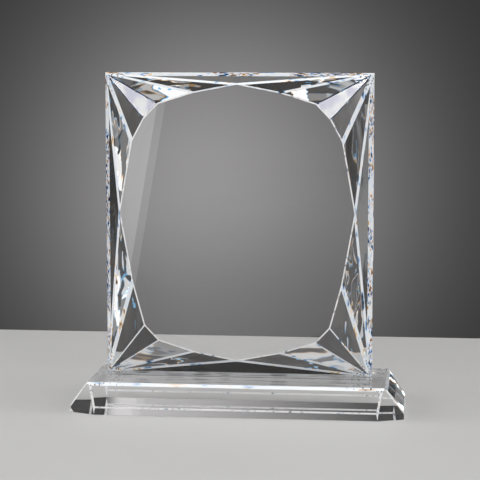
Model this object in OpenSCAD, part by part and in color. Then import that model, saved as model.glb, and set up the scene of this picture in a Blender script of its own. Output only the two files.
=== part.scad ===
// Crystal award: a gem-cut rectangular plaque of clear optical crystal, bonded upright on a
// bevelled slab base of the same crystal.
// Frame: origin under the middle of the base, +Z up, X across the plaque, the cut face looks to -Y.

/* [Plaque] */
// Width of the plaque
plaque_w = 149.6; // [135:0.1:200]
// Height of the plaque
plaque_h = 171.3; // [150:0.1:220]
// Thickness of the plaque
plaque_t = 21; // [18:0.5:30]

/* [Gem cut] */
// How far the facets run back from the table at the plaque's corners
crown_depth = 10; // [5:0.5:12]
// How far inside the plaque's sides and top the facets of a corner meet
girdle_inset = 0.5; // [0.2:0.1:1]
// How far above the plaque's foot the facets of a corner meet
foot_inset = 2.4; // [1:0.1:3]
// Distance from the plaque's side to the widest point of the table
side_margin = 9.5; // [6:0.1:13]
// Distance from the plaque's top to the highest point of the table
top_margin = 5.8; // [4:0.1:10]
// Distance from the plaque's foot to the lowest point of the table
bottom_margin = 11.9; // [8:0.1:15]
// Distance in from the table's side to the end of its long top edge
long_in = 41; // [36:0.2:46]
// How far that long edge falls
long_drop = 4.7; // [3.5:0.1:6]
// Distance in from the table's side to the inner end of the corner facet
corner_in = 21.6; // [18:0.2:25]
// How far below the table's top the inner end of the corner facet lies
corner_drop = 10.8; // [10:0.2:13]
// Distance in from the table's side to the outer end of the corner facet
shoulder_in = 13.6; // [12:0.2:16]
// How far below the table's top the outer end of the corner facet lies
shoulder_drop = 19.2; // [17:0.2:22]
// Distance in from the table's side to the break in its long side edge
flank_in = 7; // [6:0.1:8]
// How far below the table's top the break in its long side edge lies
flank_drop = 37.5; // [34:0.5:44]
// How far the breaks and the widest points on the table's sides are raised
flank_rise = 6; // [0:0.5:8]

/* [Edge work on the plaque] */
// Width of the polished flats along the edges of the long facets
outer_flat = 1.7; // [0.5:0.1:2]
// Width of the polished flat between the two inner facets of a fan's top or foot side
fan_flat = 1.3; // [0.5:0.1:1.6]
// Width of the polished flats along both edges of the corner facet
corner_flat = 0.7; // [0.4:0.1:1.2]
// Width of the polished flat between the two facets of a fan's flank
flank_flat = 2.4; // [0.8:0.1:2.8]
// Width of the polished flat round the table
table_flat = 0.8; // [0.4:0.1:1.2]
// Width of the front rim bevel at the sides, seen from the front
side_rim = 2.7; // [1.5:0.1:4]
// Width of the front rim bevel at the top, seen from the front
top_rim = 1.8; // [1.2:0.1:3]
// Width of the front rim bevel at the foot, seen from the front
foot_rim = 3.4; // [1:0.1:5]
// How far behind the planes of the long facets the front rim bevels end, at the plaque's edges
rim_drop = 1.4; // [0.4:0.1:2.5]
// Width of the bevel round the back, at the sides and the top
back_bevel = 3; // [1:0.1:4]
// Width of the bevel along the back edge of the foot
foot_bevel = 0.8; // [0.3:0.1:1]

/* [Base] */
// How far the base reaches past the plaque at each end
base_overhang = 18.4; // [12:0.1:30]
// How far the base reaches past the plaque in front
front_ledge = 11; // [8:0.5:30]
// How far the base reaches past the plaque behind
rear_ledge = 29; // [10:0.5:35]
// Height of the base
base_h = 18; // [14:0.5:30]
// Height of the upright band round the foot of the base
band_h = 4.2; // [2:0.1:7]
// How far the sloping ends draw in above the band
end_run = 10; // [4:0.5:11]
// How far the front and back faces draw in above the band
face_run = 1; // [0.5:0.1:3]
// Length of each corner cut along the front of the base
corner_cut_x = 14.4; // [11.6:0.1:20]
// Depth of each corner cut along the end of the base
corner_cut_y = 6; // [3:0.5:12]
// Width of the bevel along the top edges of the base
base_bevel = 1.6; // [0.6:0.1:2.5]
// Width of the polished flats down the edges of each cut corner
hip_flat = 1.4; // [0.5:0.1:2]
// Width of the polished flat above the band
band_flat = 1; // [0.5:0.1:1.5]

/* [Bond] */
// Thickness of the clear adhesive film under the plaque
bond_t = 0.15; // [0.1:0.05:0.3]

/* [Hidden] */

crystal = [0.86, 0.89, 0.92, 0.45];
adhesive = [0.95, 0.95, 0.9, 0.6];

base_w = plaque_w + 2 * base_overhang;
base_d = plaque_t + front_ledge + rear_ledge;
foot_z = base_h + bond_t;
plaque_y = (front_ledge - rear_ledge) / 2;

// The table is the flat window that the facets leave in the front of the plaque.
table_half_w = plaque_w / 2 - side_margin;
table_half_h = (plaque_h - top_margin - bottom_margin) / 2;
table_mid_z = bottom_margin + table_half_h;
table_normal = [0, -1, 0];
front_y = -plaque_t / 2;
back_y = plaque_t / 2;

// The girdle is the line where the facets end; the rim bevels run from the long facets past it.
girdle_y = front_y + crown_depth;

// One quarter of the table's outline, from the middle of an edge at the top or foot (up = 1 or -1)
// to the widest point at a side (across = 1 or -1).
function quarter(across, up) = [
    [0, up * table_half_h],
    [across * (table_half_w - long_in), up * (table_half_h - long_drop)],
    [across * (table_half_w - corner_in), up * (table_half_h - corner_drop)],
    [across * (table_half_w - shoulder_in), up * (table_half_h - shoulder_drop)],
    [across * (table_half_w - flank_in), up * (table_half_h - flank_drop) + flank_rise],
    [across * table_half_w, flank_rise]
];

// A point of that outline in the plaque's own frame: its foot is at z = 0, the slab's middle at y = 0
function on_table(p) = [p.x, front_y, table_mid_z + p.y];

// The point where all the facets of one corner meet
function girdle_corner(across, up) = [
    across * (plaque_w / 2 - girdle_inset),
    girdle_y,
    up > 0 ? plaque_h - girdle_inset : foot_inset
];

// The outward normal of the facet through three points of the crown, whose outside is towards -Y
function facet_normal(a, b, c) = let (n = cross(b - a, c - a)) (n.y < 0 ? n : -n) / norm(n);

// The normals round one corner: the long facet at the top or foot, the five of the fan, the long
// facet at the side
function corner_normals(across, up) = let (edge = quarter(across, up)) [
    facet_normal(girdle_corner(-1, up), girdle_corner(1, up), on_table(edge[0])),
    for (i = [0 : len(edge) - 2])
        facet_normal(girdle_corner(across, up), on_table(edge[i]), on_table(edge[i + 1])),
    facet_normal(girdle_corner(across, -1), girdle_corner(across, 1), on_table(edge[len(edge) - 1]))
];

// Removes all that lies beyond the plane through p with outward normal n,
// as a lap does when it grinds one flat facet.
module lap(p, n, reach = 3 * (plaque_h + base_w)) {
    translate(p)
        rotate([0, acos(n.z / norm(n)), atan2(n.y, n.x)])
            translate([-reach / 2, -reach / 2, 0])
                cube(reach);
}

// Grinds a flat of the given width along the edge through p, where faces with unit normals m and n
// meet.
module edge_flat(p, m, n, width) {
    halfway = (m + n) / norm(m + n);
    depth = width / 2 * sin(acos(m * halfway));
    lap(p - depth * halfway, halfway);
}

// The facets that fan out from one corner to the table, with a flat on every edge between them
module corner_fan(across, up) {
    edge = quarter(across, up);
    normals = corner_normals(across, up);
    flats = [outer_flat, fan_flat, corner_flat, corner_flat, flank_flat, outer_flat];
    for (n = normals)
        lap(girdle_corner(across, up), n);
    for (i = [0 : len(edge) - 1])
        edge_flat(on_table(edge[i]), normals[i], normals[i + 1], flats[i]);
    for (i = [0 : len(edge) - 2])
        edge_flat(on_table(edge[i]), normals[i + 1], table_normal, table_flat);
}

// How far back the long facet at one edge lies, at a distance w in from that edge
function long_facet_y(w, margin, inset) =
    girdle_y - crown_depth * (w - inset) / (margin - inset);

// How far back the rim bevel of that long facet ends, at the plaque's edge
function rim_end_y(margin, inset) = long_facet_y(0, margin, inset) + rim_drop;

// Bevels the front of the rim, from a line on the long facet to a line on the plaque's edge.
// out points out of the plaque at that edge, and p is a point of the edge.
module rim_bevel(p, out, w, margin, inset) {
    end_y = rim_end_y(margin, inset);
    lap([p.x, end_y, p.z], out * (end_y - long_facet_y(w, margin, inset)) + table_normal * w);
}

// Bevels the back of the rim at 45 degrees.
module back_edge(p, out, w) {
    lap([p.x, back_y, p.z] - w * out, out - table_normal);
}

module rim_bevels() {
    for (side = [-1, 1]) {
        edge = [side * plaque_w / 2, 0, 0];
        rim_bevel(edge, [side, 0, 0], side_rim, side_margin, girdle_inset);
        back_edge(edge, [side, 0, 0], back_bevel);
    }
    rim_bevel([0, 0, plaque_h], [0, 0, 1], top_rim, top_margin, girdle_inset);
    back_edge([0, 0, plaque_h], [0, 0, 1], back_bevel);
    rim_bevel([0, 0, 0], [0, 0, -1], foot_rim, bottom_margin, foot_inset);
    back_edge([0, 0, 0], [0, 0, -1], foot_bevel);
}

module crystal_plaque() {
    color(crystal)
        translate([0, plaque_y, foot_z])
            difference() {
                translate([-plaque_w / 2, front_y, 0]) cube([plaque_w, plaque_t, plaque_h]);
                for (across = [-1, 1], up = [-1, 1]) corner_fan(across, up);
                rim_bevels();
            }
}

// The film covers the flat foot of the plaque, inside its bevels.
module bond_film() {
    end_x = plaque_w / 2;
    film_front = rim_end_y(bottom_margin, foot_inset);
    film_back = back_y - foot_bevel;
    corner_cut = back_bevel - foot_bevel;
    color(adhesive)
        translate([0, plaque_y, base_h])
            linear_extrude(bond_t)
                polygon([
                    [-end_x, film_front], [end_x, film_front], [end_x, film_back - corner_cut],
                    [end_x - corner_cut, film_back], [corner_cut - end_x, film_back],
                    [-end_x, film_back - corner_cut]
                ]);
}

// Outline of the base seen from above: a rectangle with its corners cut
module base_plan() {
    w = base_w / 2;
    d = base_d / 2;
    polygon([
        for (q = [[1, 1], [-1, 1], [-1, -1], [1, -1]])
            let (along = [q.x * (w - corner_cut_x), q.y * d], end = [q.x * w, q.y * (d - corner_cut_y)])
                each (q.x * q.y > 0 ? [end, along] : [along, end])
    ]);
}

// Outline of the base seen from the front or the end: upright band, drawn-in face, bevelled top
module base_profile(half, run, bevel) {
    shoulder = base_h - bevel;
    lean = run * (shoulder - band_h) / (base_h - band_h);
    top = half - lean - bevel;
    polygon([
        [-half, 0], [half, 0], [half, band_h], [half - lean, shoulder], [top, base_h],
        [-top, base_h], [lean - half, shoulder], [-half, band_h]
    ]);
}

// The unit normals of the base's long face, sloping end and cut corner, on the sides sx and sy
function long_face_normal(sy) = [0, sy * (base_h - band_h), face_run] / norm([base_h - band_h, face_run]);
function end_face_normal(sx) = [sx * (base_h - band_h), 0, end_run] / norm([base_h - band_h, end_run]);
function corner_face_normal(sx, sy) =
    [sx * corner_cut_y, sy * corner_cut_x, 0] / norm([corner_cut_y, corner_cut_x]);

// The flats along the top of the band, and on both edges of each cut corner
module base_flats() {
    for (s = [-1, 1]) {
        edge_flat([0, s * base_d / 2, band_h], long_face_normal(s), [0, s, 0], band_flat);
        edge_flat([s * base_w / 2, 0, band_h], end_face_normal(s), [s, 0, 0], band_flat);
    }
    for (sx = [-1, 1], sy = [-1, 1]) {
        edge_flat([sx * (base_w / 2 - corner_cut_x), sy * base_d / 2, band_h],
            long_face_normal(sy), corner_face_normal(sx, sy), hip_flat);
        edge_flat([sx * base_w / 2, sy * (base_d / 2 - corner_cut_y), band_h],
            end_face_normal(sx), corner_face_normal(sx, sy), hip_flat);
    }
}

module crystal_base() {
    color(crystal)
        difference() {
            intersection() {
                linear_extrude(base_h) base_plan();
                translate([0, base_d / 2, 0]) rotate([90, 0, 0])
                    linear_extrude(base_d) base_profile(base_w / 2, end_run, base_bevel);
                translate([-base_w / 2, 0, 0]) rotate([90, 0, 90])
                    linear_extrude(base_w) base_profile(base_d / 2, face_run, base_bevel);
            }
            base_flats();
        }
}

crystal_plaque();
bond_film();
crystal_base();
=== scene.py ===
import math

import bpy
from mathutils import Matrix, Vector


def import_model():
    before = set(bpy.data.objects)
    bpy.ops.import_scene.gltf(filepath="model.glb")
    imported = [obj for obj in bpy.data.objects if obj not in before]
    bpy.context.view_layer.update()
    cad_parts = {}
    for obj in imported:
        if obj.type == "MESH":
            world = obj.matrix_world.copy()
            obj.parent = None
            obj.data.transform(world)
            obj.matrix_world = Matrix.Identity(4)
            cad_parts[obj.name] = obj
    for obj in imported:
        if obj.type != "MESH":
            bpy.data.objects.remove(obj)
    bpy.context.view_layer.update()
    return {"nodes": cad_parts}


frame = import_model()

MM = 0.001

# Camera: position, direction and lens
CAMERA_AT = Vector((106.1, -990.3, 218.6)) * MM
CAMERA_FORWARD = Vector((-0.10588, 0.98677, -0.12279))
LENS = 133.7

# Optical crystal bends blue light a little more than red.
IOR_MID = 1.52
IOR_SPREAD = 0.0035

# Where the facets of each corner of the plaque meet
CORNER_X = 74.3 * MM
CORNER_DZ = 84.2 * MM
MIDDLE_Z = 104.75 * MM

# The rim bevels of the plaque reach further back than this.
RIM_Y = -8.5 * MM

# Front faces of the plaque narrower than this are the polished flats along its edges.
FLAT_WIDTH = 2.4 * MM
# The flats round the table face further forward than this.
TABLE_FLAT_Y = -0.975

# Faces of the base narrower than these are its polished flats and its top bevels.
BASE_FLAT_WIDTH = 1.5 * MM
BASE_BEVEL_WIDTH = 4 * MM


def tree_of(name):
    """A new material with an empty node tree, as (material, nodes, links, output)."""
    material = bpy.data.materials.new(name)
    material.use_nodes = True
    nodes, links = material.node_tree.nodes, material.node_tree.links
    nodes.clear()
    return material, nodes, links, nodes.new("ShaderNodeOutputMaterial")


def maths_in(nodes, links):
    """A function that adds one math node to this tree and gives its output."""

    def maths(operation, *values):
        node = nodes.new("ShaderNodeMath")
        node.operation = operation
        for socket, value in zip(node.inputs, values):
            if isinstance(value, (int, float)):
                socket.default_value = value
            else:
                links.new(value, socket)
        return node.outputs[0]

    return maths


def noise_in(nodes, links, size, detail, stretch=(1, 1, 1)):
    """A noise node on the object's own coordinates, with features of this size."""
    coords = nodes.new("ShaderNodeTexCoord")
    mapping = nodes.new("ShaderNodeMapping")
    mapping.inputs["Scale"].default_value = stretch
    links.new(coords.outputs["Object"], mapping.inputs["Vector"])
    noise = nodes.new("ShaderNodeTexNoise")
    noise.inputs["Scale"].default_value = 1 / size
    noise.inputs["Detail"].default_value = detail
    links.new(mapping.outputs[0], noise.inputs["Vector"])
    return noise


def ramp_in(nodes, links, value, stops):
    """The colour at this value along the stops, each a place and its colour."""
    ramp = nodes.new("ShaderNodeValToRGB")
    elements = ramp.color_ramp.elements
    for element, (place, colour) in zip(elements, (stops[0], stops[-1])):
        element.position, element.color = place, colour
    for place, colour in stops[1:-1]:
        elements.new(place).color = colour
    links.new(value, ramp.inputs[0])
    return ramp.outputs[0]


def finish_crystal(nodes, links, out, shader, shade):
    """Lets the lamps reach the floor through the crystal, dimmed to shade."""
    path = nodes.new("ShaderNodeLightPath")
    clear = nodes.new("ShaderNodeBsdfTransparent")
    clear.inputs["Color"].default_value = (shade, shade, shade, 1)
    both = nodes.new("ShaderNodeMixShader")
    links.new(path.outputs["Is Shadow Ray"], both.inputs[0])
    links.new(shader, both.inputs[1])
    links.new(clear.outputs[0], both.inputs[2])
    links.new(both.outputs[0], out.inputs["Surface"])


def ripples(nodes, links, height, size, stretch):
    """A bump of soft ripples, as lapping leaves them, stretched along each facet."""
    noise = noise_in(nodes, links, size, detail=1.6, stretch=stretch)
    noise.inputs["Roughness"].default_value = 0.35
    noise.inputs["Distortion"].default_value = 0.4
    bump = nodes.new("ShaderNodeBump")
    bump.inputs["Strength"].default_value = 1.0
    bump.inputs["Distance"].default_value = height
    links.new(noise.outputs["Fac"], bump.inputs["Height"])
    return bump.outputs[0]


# Painted reflection: white and lilac patches in the corner facets' mirror colour, standing in for
# the folds of a lamp's cloth
PAINTED_MIRROR_PATCHES = (
    (0.44, (0.64, 0.64, 0.76, 1)),
    (0.54, (0.92, 0.92, 0.94, 1)),
)
MIRROR_PATCH_SIZE = 7 * MM


def crystal_material(name, height, size, stretch=(1, 1, 1), light_scale=1.0, painted_patches=False):
    """Clear crystal whose ripples have this height and size. light_scale is painted shade: how
    much of the light one face lets in, below 1 on facets that stand for dark surroundings. A face
    with painted_patches has painted reflection patches in its mirror colour."""
    material, nodes, links, out = tree_of(name)
    normal = ripples(nodes, links, height, size, stretch)

    def faced(kind):
        node = nodes.new(kind)
        links.new(normal, node.inputs["Normal"])
        return node

    # Entering rays split into a warm and a cool half.
    split = nodes.new("ShaderNodeMixShader")
    split.inputs[0].default_value = 0.5
    # light_scale below 1 is painted shade that darkens what is seen through the facet.
    for socket, colour, ior in (
        (1, (1.7 * light_scale, light_scale, 0.3 * light_scale, 1), IOR_MID - IOR_SPREAD),
        (2, (0.3 * light_scale, light_scale, 1.7 * light_scale, 1), IOR_MID + IOR_SPREAD),
    ):
        bend = faced("ShaderNodeBsdfRefraction")
        bend.inputs["Color"].default_value = colour
        bend.inputs["Roughness"].default_value = 0.0
        bend.inputs["IOR"].default_value = ior
        links.new(bend.outputs[0], split.inputs[socket])
    mirror = faced("ShaderNodeBsdfGlossy")
    mirror.inputs["Roughness"].default_value = 0.0
    # Painted reflection: noise patches of white and lilac in the mirror colour
    if painted_patches:
        noise = noise_in(nodes, links, MIRROR_PATCH_SIZE, detail=1.0)
        links.new(ramp_in(nodes, links, noise.outputs["Fac"], PAINTED_MIRROR_PATCHES), mirror.inputs["Color"])
    fresnel = faced("ShaderNodeFresnel")
    fresnel.inputs["IOR"].default_value = IOR_MID
    enter = nodes.new("ShaderNodeMixShader")
    links.new(fresnel.outputs[0], enter.inputs[0])
    links.new(split.outputs[0], enter.inputs[1])
    links.new(mirror.outputs[0], enter.inputs[2])
    leave = faced("ShaderNodeBsdfGlass")
    leave.inputs["Roughness"].default_value = 0.0
    leave.inputs["IOR"].default_value = IOR_MID
    side = nodes.new("ShaderNodeNewGeometry")
    crystal = nodes.new("ShaderNodeMixShader")
    links.new(side.outputs["Backfacing"], crystal.inputs[0])
    links.new(enter.outputs[0], crystal.inputs[1])
    links.new(leave.outputs[0], crystal.inputs[2])
    finish_crystal(nodes, links, out, crystal.outputs[0], shade=0.75)
    return material


def clear_material(name, shade=0.7):
    """Clear crystal or adhesive that is flat and splits no colours."""
    material, nodes, links, out = tree_of(name)
    glass = nodes.new("ShaderNodeBsdfGlass")
    glass.inputs["Roughness"].default_value = 0.0
    glass.inputs["IOR"].default_value = IOR_MID
    finish_crystal(nodes, links, out, glass.outputs[0], shade)
    return material


# Painted glints and colour fringes on the polished flats, along the noise: how far along, then the
# colour
PAINTED_GLINTS = (
    (0.28, (0.02, 0.03, 0.05, 1)),
    (0.36, (0.20, 0.42, 0.75, 1)),
    (0.42, (0.85, 0.92, 1.0, 1)),
    (0.60, (1.0, 1.0, 1.0, 1)),
    (0.66, (0.92, 0.62, 0.32, 1)),
    (0.74, (0.10, 0.06, 0.04, 1)),
)
# Painted glints and colour fringes for the rim bevels
RIM_PAINTED_GLINTS = (
    (0.38, (0.02, 0.04, 0.08, 1)),
    (0.42, (0.08, 0.34, 0.85, 1)),
    (0.455, (0.85, 0.93, 1.0, 1)),
    (0.55, (1.0, 1.0, 1.0, 1)),
    (0.585, (1.0, 0.55, 0.18, 1)),
    (0.63, (0.07, 0.04, 0.03, 1)),
)
# Painted dark glints for the flats at the upper corners
DARK_PAINTED_GLINTS = (
    (0.50, (0.02, 0.03, 0.05, 1)),
    (0.64, (0.20, 0.42, 0.75, 1)),
    (0.70, (1.0, 1.0, 1.0, 1)),
)
# Painted highlight: the white line along the edge flats of the table and the base
PAINTED_LINE_HIGHLIGHT = (
    (0.30, (0.30, 0.32, 0.36, 1)),
    (0.38, (0.80, 0.84, 0.90, 1)),
    (0.46, (1.0, 1.0, 1.0, 1)),
    (0.62, (1.0, 1.0, 1.0, 1)),
    (0.72, (0.62, 0.60, 0.58, 1)),
)
# Painted reflection: pale streaks on the bevel at the foot
PAINTED_STREAKS = (
    (0.37, (0.22, 0.22, 0.23, 1)),
    (0.43, (0.50, 0.51, 0.53, 1)),
    (0.48, (0.92, 0.94, 0.97, 1)),
    (0.56, (1.0, 1.0, 1.0, 1)),
    (0.63, (0.45, 0.46, 0.48, 1)),
)
PATCH_SIZE = 12 * MM
# The painted dark glints, as dots, lie this close to each corner, and fade out this far from it.
DOT_SIZE = 1.5 * MM
DOTS_FULL, DOTS_END = 8 * MM, 14 * MM
DARK_GLINT_COLOUR = (0.02, 0.025, 0.035, 1)


def edge_material(name, stops, size=2.2 * MM, stretch=(1, 1, 1), shine_level=0.5):
    """The narrow polished faces, with painted glints and highlights as specks or streaks that have
    this size.
    """
    material, nodes, links, out = tree_of(name)
    maths = maths_in(nodes, links)
    coords = nodes.new("ShaderNodeTexCoord")

    def map_range(value, start, end, low, high):
        node = nodes.new("ShaderNodeMapRange")
        node.inputs["From Min"].default_value = start
        node.inputs["From Max"].default_value = end
        node.inputs["To Min"].default_value = low
        node.inputs["To Max"].default_value = high
        links.new(value, node.inputs["Value"])
        return node.outputs[0]

    # The painted glints are strong in some patches and faint in others.
    specks = noise_in(nodes, links, size, detail=2.0, stretch=stretch)
    patches = noise_in(nodes, links, PATCH_SIZE, detail=0.0)
    strength = map_range(patches.outputs["Fac"], 0.42, 0.58, 0.3, 1.2)
    offset = maths("MULTIPLY", maths("SUBTRACT", specks.outputs["Fac"], 0.5), strength)
    glint_colour = ramp_in(nodes, links, maths("ADD", offset, 0.5), stops)

    # Painted dark glints: dark dots where the flats of a corner run together
    dots = nodes.new("ShaderNodeTexVoronoi")
    dots.inputs["Scale"].default_value = 1 / DOT_SIZE
    links.new(coords.outputs["Object"], dots.inputs["Vector"])
    place = nodes.new("ShaderNodeSeparateXYZ")
    links.new(coords.outputs["Object"], place.inputs[0])
    dx = maths("SUBTRACT", maths("ABSOLUTE", place.outputs["X"]), CORNER_X)
    height = maths("SUBTRACT", place.outputs["Z"], MIDDLE_Z)
    dz = maths("SUBTRACT", maths("ABSOLUTE", height), CORNER_DZ)
    away = maths("SQRT", maths("ADD", maths("MULTIPLY", dx, dx), maths("MULTIPLY", dz, dz)))
    near = map_range(away, DOTS_FULL, DOTS_END, 1.0, 0.0)
    dot = maths("MULTIPLY", maths("LESS_THAN", dots.outputs["Distance"], 0.30), near)
    dotted = nodes.new("ShaderNodeMix")
    dotted.data_type = "RGBA"
    links.new(dot, dotted.inputs[0])
    links.new(glint_colour, dotted.inputs[6])
    dotted.inputs[7].default_value = DARK_GLINT_COLOUR

    shine = nodes.new("ShaderNodeBsdfPrincipled")
    links.new(dotted.outputs[2], shine.inputs["Base Color"])
    shine.inputs["Roughness"].default_value = 0.18
    shine.inputs["IOR"].default_value = IOR_MID
    shine.inputs["Transmission Weight"].default_value = 0.15
    shine.inputs["Specular IOR Level"].default_value = shine_level
    links.new(shine.outputs[0], out.inputs["Surface"])
    return material


def faces_of(mesh):
    """The flat faces of a mesh, each as (polygons, unit normal, width)."""
    groups = {}
    for poly in mesh.polygons:
        n = poly.normal
        key = (round(n.x, 2), round(n.y, 2), round(n.z, 2), round(n.dot(poly.center) / (0.2 * MM)))
        groups.setdefault(key, []).append(poly)
    faces = []
    for polys in groups.values():
        area = sum(p.area for p in polys)
        edges = {}
        for p in polys:
            for key in p.edge_keys:
                edges[key] = edges.get(key, 0) + 1
        rim = [key for key, count in edges.items() if count == 1]
        length = sum((mesh.vertices[a].co - mesh.vertices[b].co).length for a, b in rim)
        faces.append((polys, polys[0].normal.copy(), 2 * area / length))
    return faces


plaque = frame["nodes"]["crystal_plaque"]
mesh = plaque.data
mesh.materials.clear()
# Ripples and specks run along the facets: across the plaque or up it.
ALONG_X, ALONG_Z = (0.35, 1, 1), (1, 1, 0.35)
KINDS = {
    "plane": clear_material("crystal_plane", shade=0.75),
    # Facets. The upper corner facets are lit nearly white, with painted reflection patches.
    "corner": crystal_material("corner_facet", 0.05 * MM, 8 * MM, painted_patches=True),
    # Painted shade: the low corner facets let in less light, standing in for dark surroundings
    # seen through them
    "low_corner": crystal_material("low_corner", 0.15 * MM, 8 * MM, light_scale=0.35),
    "fan_x": crystal_material("fan_across", 0.35 * MM, 9 * MM, ALONG_X),
    "fan_z": crystal_material("fan_upright", 0.35 * MM, 9 * MM, ALONG_Z),
    "outer_x": crystal_material("outer_across", 0.5 * MM, 9 * MM, ALONG_X),
    "outer_z": crystal_material("outer_upright", 0.8 * MM, 9 * MM, ALONG_Z),
    # Painted shade: the long facets let in less light, standing in for dark surroundings seen
    # through them
    "long_x": crystal_material("long_across", 0.5 * MM, 9 * MM, ALONG_X, light_scale=0.4),
    # Rim bevels, polished flats and the bevel at the foot, with painted glints, highlights and
    # reflection streaks
    "rim_x": edge_material("rim_across", RIM_PAINTED_GLINTS, 1.3 * MM, (0.3, 1, 1)),
    "rim_z": edge_material("rim_upright", RIM_PAINTED_GLINTS, 1.3 * MM, (1, 1, 0.4)),
    "line": edge_material("table_edge", PAINTED_LINE_HIGHLIGHT, 3 * MM),
    "edge_x": edge_material("edge_across", PAINTED_GLINTS, stretch=(0.3, 1, 1)),
    "edge_z": edge_material("edge_upright", PAINTED_GLINTS, stretch=(1, 1, 0.3)),
    "corner_edge": edge_material("corner_edge", DARK_PAINTED_GLINTS, shine_level=0.1),
    "foot": edge_material("foot_bevel", PAINTED_STREAKS, 1.2 * MM, (0.04, 1, 1)),
}
for material in KINDS.values():
    mesh.materials.append(material)


def kind_of(mesh, polys, n, width):
    """Which of these materials one flat face of the plaque has, from its normal and width."""
    # 0 for a face that leans to the side, 90 for one that leans up or down
    turn = math.degrees(math.atan2(abs(n.z), abs(n.x)))
    way = "x" if abs(n.z) > abs(n.x) else "z"
    if width < FLAT_WIDTH and n.y < -0.5:
        if n.y < TABLE_FLAT_Y:
            return "line"
        if 25 < turn < 65 and n.z > 0:
            return "corner_edge"
        return "edge_" + way
    if n.y < -0.5 and n.z < -0.75:
        return "foot"
    # The table, the sides and the back
    if n.y > -0.1 or n.y < -0.999:
        return "plane"
    if max(mesh.vertices[i].co.y for p in polys for i in p.vertices) > RIM_Y:
        return "rim_" + way
    if turn > 89:
        return "long_x"
    if 35 < turn < 55:
        return "corner" if n.z > 0 else "low_corner"
    return ("fan_" if 12 < turn < 75 else "outer_") + way


for polys, n, width in faces_of(mesh):
    index = list(KINDS).index(kind_of(mesh, polys, n, width))
    for poly in polys:
        poly.material_index = index

base = frame["nodes"]["crystal_base"]
base.data.materials.clear()
PLANE, LINES, BEVEL, END = range(4)
# The base's flats and top bevels carry the painted highlight and painted glints.
for material in (
    clear_material("base_plane"),
    KINDS["line"],
    edge_material("base_bevel", PAINTED_GLINTS, 1.6 * MM, (0.08, 1, 1)),
    crystal_material("base_end", 0.3 * MM, 8 * MM, (1, 0.3, 1)),
):
    base.data.materials.append(material)
for polys, n, width in faces_of(base.data):
    if width < BASE_FLAT_WIDTH:
        index = LINES
    elif width < BASE_BEVEL_WIDTH and 0.3 < n.z < 0.95:
        index = BEVEL
    elif abs(n.x) > 0.5 and n.z > 0.2:
        index = END
    else:
        index = PLANE
    for poly in polys:
        poly.material_index = index

film = frame["nodes"]["bond_film"]
film.data.materials.clear()
film.data.materials.append(clear_material("cured_adhesive"))


def sheet(name, corners, material):
    """One flat sheet of the stage."""
    data = bpy.data.meshes.new(name)
    data.from_pydata([Vector(c) for c in corners], [], [tuple(range(len(corners)))])
    data.materials.append(material)
    obj = bpy.data.objects.new(name, data)
    bpy.context.scene.collection.objects.link(obj)


FLOOR_COLOURS = (
    (0.0, (0.56, 0.555, 0.55, 1)),
    (1.0, (0.62, 0.615, 0.61, 1)),
)
# The floor lies just under the base's underside.
FLOOR_Z = -0.3 * MM


def floor_material():
    """Matt and pale, faintly mottled."""
    material, nodes, links, out = tree_of("pale_floor")
    noise = nodes.new("ShaderNodeTexNoise")
    noise.inputs["Scale"].default_value = 14.0
    noise.inputs["Detail"].default_value = 6.0
    colour = ramp_in(nodes, links, noise.outputs["Fac"], FLOOR_COLOURS)
    matt = nodes.new("ShaderNodeBsdfPrincipled")
    links.new(colour, matt.inputs["Base Color"])
    matt.inputs["Roughness"].default_value = 0.55
    links.new(matt.outputs[0], out.inputs["Surface"])
    return material


sheet(
    "floor",
    [(-1.3, -1.6, FLOOR_Z), (1.3, -1.6, FLOOR_Z), (1.3, 0.235, FLOOR_Z), (-1.3, 0.235, FLOOR_Z)],
    floor_material(),
)


def toward(azimuth, elevation):
    """The direction at this azimuth from +Y towards +X, and this elevation."""
    a, e = math.radians(azimuth), math.radians(elevation)
    return Vector((math.sin(a) * math.cos(e), math.cos(a) * math.cos(e), math.sin(e)))


def softbox(name, aim_mm, azimuth, elevation, distance, size, strength, roll=0.0):
    """A soft lamp seen from aim_mm at this azimuth and elevation, as bright as strength."""
    data = bpy.data.lights.new(name, "AREA")
    data.shape = "RECTANGLE"
    data.size, data.size_y = size
    data.energy = strength * math.pi * size[0] * size[1]
    lamp = bpy.data.objects.new(name, data)
    aim = Vector(aim_mm) * MM
    lamp.location = aim + toward(azimuth, elevation) * distance
    turn = (aim - lamp.location).to_track_quat("-Z", "Y").to_matrix().to_4x4()
    lamp.rotation_euler = turn.to_euler()
    if roll:
        lamp.rotation_euler.rotate_axis("Z", math.radians(roll))
    lamp.visible_camera = False
    bpy.context.scene.collection.objects.link(lamp)


# The lamps: name, the point in mm that they light, azimuth, elevation, distance, size, strength.
# Two boxes that the upper corner facets mirror, then one above, one each side and two in front
softbox("key_left", (-62, -10, 165), -144.6, 18.7, 1.3, (0.14, 0.22), 17)
softbox("key_right", (62, -10, 165), 157.6, 20.0, 1.3, (0.13, 0.2), 17)
softbox("above", (0, 0, 100), 180, 80, 1.4, (1.0, 0.8), 3.2)
softbox("side_left", (-75, 0, 100), -98, 25, 1.4, (0.6, 0.6), 7)
softbox("side_right", (75, 0, 100), 98, 25, 1.4, (0.6, 0.6), 7)
softbox("front_left", (0, 0, 100), -128, 29, 1.4, (0.35, 0.3), 8)
softbox("front_right", (0, 0, 100), 128, 29, 1.4, (0.35, 0.3), 8)
# Two panels behind the left of the window, one reaching further in than the other
softbox("window_inner", (-96.2, 2, 136), -6, -7, 0.3, (0.05, 0.15), 0.09, roll=9.3)
softbox("window_outer", (-90.4, 2, 136), -6, -7, 0.3, (0.05, 0.15), 0.06, roll=9.3)
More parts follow.
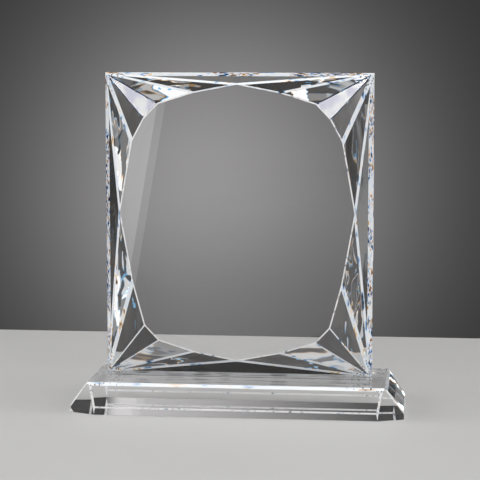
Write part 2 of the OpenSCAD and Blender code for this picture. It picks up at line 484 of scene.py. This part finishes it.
# Lamps far behind the award, just outside the view, which the facets bend into sight: the
# strips light the fans' side facets, the low ones the top facets, the high ones the bottom ones.
FAR, FARTHER = 6.0, 20.0
softbox("strip_1", (-68, 0, 150), 3.7, -7.5, FAR, (0.26, 0.17), 0.85)
softbox("strip_2", (-68, 0, 150), 3.2, -5.4, FAR, (0.03, 0.22), 0.4)
softbox("strip_3", (-68, 0, 150), 4.1, -5.4, FAR, (0.25, 0.14), 0.18)
softbox("strip_10", (-68, 0, 150), 6.0, -6.3, FAR, (0.4, 0.6), 0.15)
softbox("strip_4", (-67, 0, 72), 2.3, -5.9, FAR, (0.17, 0.13), 0.6)
softbox("strip_5", (-67, 0, 72), 2.5, -7.4, FAR, (0.20, 0.12), 0.2)
softbox("strip_6", (66, 0, 72), -14.0, -7.9, FAR, (0.11, 0.11), 0.45)
softbox("strip_7", (66, 0, 72), -14.3, -6.5, FAR, (0.02, 0.22), 0.4)
softbox("strip_8", (66, 0, 150), -15.0, -6.6, FAR, (0.02, 0.3), 0.3)
softbox("strip_9", (66, 0, 150), -15.7, -5.6, FAR, (0.04, 0.2), 0.2)
softbox("low_1", (-48, 0, 178), -4.6, -13.8, FAR, (0.085, 0.25), 1.0)
softbox("low_2", (-48, 0, 178), -6.1, -13.8, FAR, (0.19, 0.085), 0.18)
softbox("low_3", (48, 0, 178), -8.2, -13.8, FAR, (0.075, 0.25), 1.0)
softbox("low_4", (48, 0, 178), -6.5, -13.6, FAR, (0.09, 0.10), 0.25)
softbox("low_5", (-35, 0, 185), -5.9, -16.9, FAR, (0.05, 0.05), 0.7)
softbox("low_6", (35, 0, 185), -7.0, -16.6, FAR, (0.04, 0.06), 0.7)
softbox("low_7", (35, 0, 185), -6.1, -16.6, FAR, (0.08, 0.10), 0.3)
softbox("high_1", (47, 0, 33), -6.9, -0.45, FARTHER, (0.8, 0.34), 0.30)
softbox("high_2", (0, 0, 33), -5.9, -0.25, FARTHER, (1.1, 0.34), 0.14)
softbox("high_4", (-47, 0, 33), -5.9, 2.2, FARTHER, (0.33, 0.06), 0.8)

# The backdrop's glow: azimuth, elevation, radius in degrees, and strength
GLOW = (-6.8, -5.4, 4.0, 0.307)
BACKDROP = 0.03
ROOM = 0.15
PANEL = 0.45
WARMTH = (1.0, 0.98, 0.99)
# How much of the glow the window loses low down and to the right, since it also mirrors the floor
LOW_LOSS, RIGHT_LOSS = 0.32, 0.14


def world():
    """The dim room: a glow on the backdrop behind the award, a panel above it, a lighter front."""
    scene_world = bpy.data.worlds.new("studio")
    scene_world.use_nodes = True
    nodes, links = scene_world.node_tree.nodes, scene_world.node_tree.links
    maths = maths_in(nodes, links)
    heading = nodes.new("ShaderNodeTexCoord").outputs["Generated"]
    split = nodes.new("ShaderNodeSeparateXYZ")
    links.new(heading, split.inputs[0])
    azimuth = maths("ARCTAN2", split.outputs["X"], split.outputs["Y"])
    elevation = maths("ARCSINE", split.outputs["Z"])

    def glow(at_azimuth, at_elevation, radius, strength):
        """A round glow that fades as a bell curve of this radius in degrees."""
        dot = nodes.new("ShaderNodeVectorMath")
        dot.operation = "DOT_PRODUCT"
        links.new(heading, dot.inputs[0])
        dot.inputs[1].default_value = toward(at_azimuth, at_elevation)
        angle = maths("ARCCOSINE", maths("MINIMUM", dot.outputs["Value"], 1.0))
        spread = maths("DIVIDE", angle, math.radians(radius) * math.sqrt(2))
        power = maths("MULTIPLY", maths("POWER", spread, 2.0), -1.0)
        return maths("MULTIPLY", maths("EXPONENT", power), strength)

    def step(value, start, end):
        """0 to 1 as value goes from start to end degrees."""
        node = nodes.new("ShaderNodeMapRange")
        node.interpolation_type = "SMOOTHSTEP"
        node.inputs["From Min"].default_value = math.radians(start)
        node.inputs["From Max"].default_value = math.radians(end)
        links.new(value, node.inputs["Value"])
        return node.outputs[0]

    def fall(value, start, end):
        """1 to 0 as value goes from start to end degrees."""
        return maths("SUBTRACT", 1.0, step(value, start, end))

    # The room in front of the award, behind the backdrop's edge, is lighter.
    room = maths("MULTIPLY", step(maths("ARCCOSINE", split.outputs["Y"]), 60, 130), ROOM)
    # A graded panel above the backdrop, which the base mirrors from its underside
    across = maths("MULTIPLY", step(azimuth, -10.6, -10.1), fall(azimuth, -10.0, 0.0))
    along = maths("MULTIPLY", step(elevation, 4.0, 6.0), fall(elevation, 15, 18))
    panel = maths("MULTIPLY", maths("MULTIPLY", across, along), PANEL)
    # The glow, with the window's loss
    path = nodes.new("ShaderNodeLightPath")
    low = maths("MULTIPLY", fall(elevation, -9, -4), LOW_LOSS)
    right = maths("MULTIPLY", step(azimuth, -9, -3), RIGHT_LOSS)
    loss = maths("MULTIPLY", maths("ADD", low, right), path.outputs["Is Transmission Ray"])
    halo = maths("MULTIPLY", glow(*GLOW), maths("SUBTRACT", 1.0, loss))

    total = maths("ADD", maths("ADD", halo, room), maths("ADD", panel, BACKDROP))
    light_scale = nodes.new("ShaderNodeVectorMath")
    light_scale.operation = "SCALE"
    light_scale.inputs[0].default_value = WARMTH
    links.new(total, light_scale.inputs["Scale"])
    links.new(light_scale.outputs[0], nodes["Background"].inputs["Color"])
    bpy.context.scene.world = scene_world


world()

camera_data = bpy.data.cameras.new("camera")
camera_data.lens = LENS
camera = bpy.data.objects.new("camera", camera_data)
camera.location = CAMERA_AT
camera.rotation_euler = CAMERA_FORWARD.to_track_quat("-Z", "Y").to_euler()
bpy.context.scene.collection.objects.link(camera)
bpy.context.scene.camera = camera

scene = bpy.context.scene
scene.view_settings.view_transform = "Standard"
scene.cycles.max_bounces = 24
scene.cycles.transmission_bounces = 24
scene.cycles.glossy_bounces = 12
